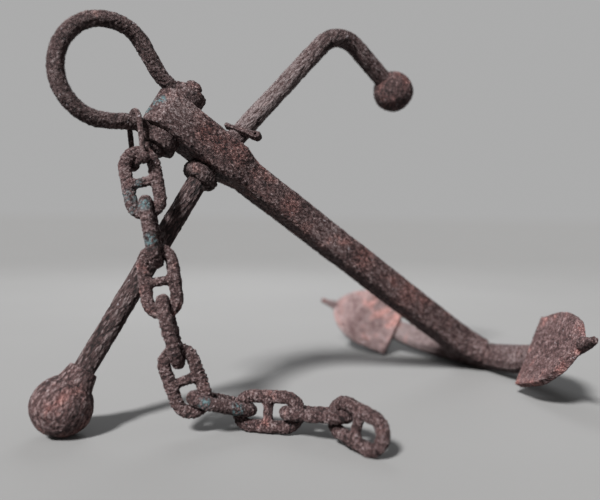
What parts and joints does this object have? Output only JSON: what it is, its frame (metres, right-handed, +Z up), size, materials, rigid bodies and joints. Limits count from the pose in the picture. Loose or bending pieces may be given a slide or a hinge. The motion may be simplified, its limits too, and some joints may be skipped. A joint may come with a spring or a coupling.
{
  "type": "boat anchor",
  "caption": "Small stocked boat anchor with spade palms, a round stock bent back at one end with ball ends, a bow shackle and a short stud-link chain.",
  "frame": {"origin": "centre of the bounding box at floor level, with the anchor lying on its lower ball, its crown and one palm", "axes": "+X along the floor from the bow shackle towards the crown, +Y towards the far palm, +Z up"},
  "size_m": [0.5854, 0.471, 0.4148],
  "materials": {
    "anchor_iron": "rough, pitted brown rust with pinkish-grey scale",
    "palm_iron": "rough, pitted brown and orange-red rust",
    "stock_iron": "rough grey-brown rust with lengthwise grain",
    "ball_iron": "rough, grooved dark brown rust",
    "key_iron": "dark, worn iron",
    "shackle_iron": "rough dark brown rust with pale scale",
    "pin_iron": "dull grey-green corroded wire",
    "connector_iron": "worn dark brown rust",
    "chain_iron": "deeply pitted dark brown rust with blue-green patches",
    "stud_iron": "pitted brown rust"
  },
  "bodies": {
    "anchor": {"shank": "anchor_iron", "arms": "anchor_iron", "palm_near": "palm_iron", "palm_far": "palm_iron"},
    "stock": {"stock_bar": "stock_iron", "stock_collar": "stock_iron", "ball_lower": "ball_iron", "ball_upper": "ball_iron"},
    "key": {"stock_key": "key_iron"},
    "shackle": {"shackle_bow": "shackle_iron", "shackle_bolt": "shackle_iron", "shackle_split_pin": "pin_iron"},
    "connector": {"connector_bow": "connector_iron", "connector_pin": "connector_iron", "connector_cotter": "pin_iron"},
    "link_1": {"link_1": "chain_iron", "stud_1": "stud_iron"},
    "link_2": {"link_2": "chain_iron", "stud_2": "stud_iron"},
    "link_3": {"link_3": "chain_iron", "stud_3": "stud_iron"},
    "link_4": {"link_4": "chain_iron", "stud_4": "stud_iron"},
    "link_5": {"link_5": "chain_iron", "stud_5": "stud_iron"},
    "link_6": {"link_6": "chain_iron", "stud_6": "stud_iron"},
    "link_7": {"link_7": "chain_iron", "stud_7": "stud_iron"},
    "link_8": {"link_8": "chain_iron", "stud_8": "stud_iron"},
    "link_9": {"link_9": "chain_iron", "stud_9": "stud_iron"}
  },
  "joints": [
    {"name": "stock_turn", "type": "hinge", "parent": "anchor", "child": "stock", "pos_m": [-0.10615, -0.00088, 0.26392], "axis": [0.6915, 0.0054, 0.7223], "range_deg": [0, 100]},
    {"name": "key_draw", "type": "slide", "parent": "stock", "child": "key", "axis": [0.3812, -0.8689, -0.3157], "range_m": [0, 0.034]},
    {"name": "shackle_swing", "type": "hinge", "parent": "anchor", "child": "shackle", "pos_m": [-0.15607, 0, 0.29612], "axis": [0.5421, 0.0369, 0.8395], "range_deg": [-90, 0]},
    {"name": "connector_swing", "type": "hinge", "parent": "shackle", "child": "connector", "pos_m": [-0.19563, -0.00307, 0.28964], "axis": [0.9968, 0.0794, 0], "range_deg": [-45, 0]},
    {"name": "link_1_swing", "type": "hinge", "parent": "connector", "child": "link_1", "pos_m": [-0.19487, -0.01261, 0.25183], "axis": [0.077, -0.9664, 0.2453], "range_deg": [-35, 0]},
    {"name": "link_2_swing", "type": "hinge", "parent": "link_1", "child": "link_2", "pos_m": [-0.18924, -0.02428, 0.20361], "axis": [0.8838, -0.4254, 0.1945], "range_deg": [-35, 0]},
    {"name": "link_3_swing", "type": "hinge", "parent": "link_2", "child": "link_3", "pos_m": [-0.18447, -0.03529, 0.15789], "axis": [0.4533, 0.8816, -0.1315], "range_deg": [-35, 20]},
    {"name": "link_4_swing", "type": "hinge", "parent": "link_3", "child": "link_4", "pos_m": [-0.17949, -0.04472, 0.11189], "axis": [-0.8745, 0.4114, -0.2568], "range_deg": [-35, 35]},
    {"name": "link_5_swing", "type": "hinge", "parent": "link_4", "child": "link_5", "pos_m": [-0.17153, -0.05603, 0.06668], "axis": [-0.4512, -0.8844, 0.1198], "range_deg": [-35, 35]},
    {"name": "link_6_swing", "type": "hinge", "parent": "link_5", "child": "link_6", "pos_m": [-0.15124, -0.07111, 0.0318], "axis": [0.2892, -0.0178, 0.9571], "range_deg": [-35, 35]},
    {"name": "link_7_swing", "type": "hinge", "parent": "link_6", "child": "link_7", "pos_m": [-0.1103, -0.08109, 0.01925], "axis": [0.7116, 0.6728, -0.2025], "range_deg": [-35, 35]},
    {"name": "link_8_swing", "type": "hinge", "parent": "link_7", "child": "link_8", "pos_m": [-0.07759, -0.11518, 0.02095], "axis": [-0.1269, -0.1604, -0.9789], "range_deg": [-35, 35]},
    {"name": "link_9_swing", "type": "hinge", "parent": "link_8", "child": "link_9", "pos_m": [-0.05723, -0.15706, 0.02518], "axis": [-0.9682, -0.1946, 0.1574], "range_deg": [-35, 35]}
  ]
}
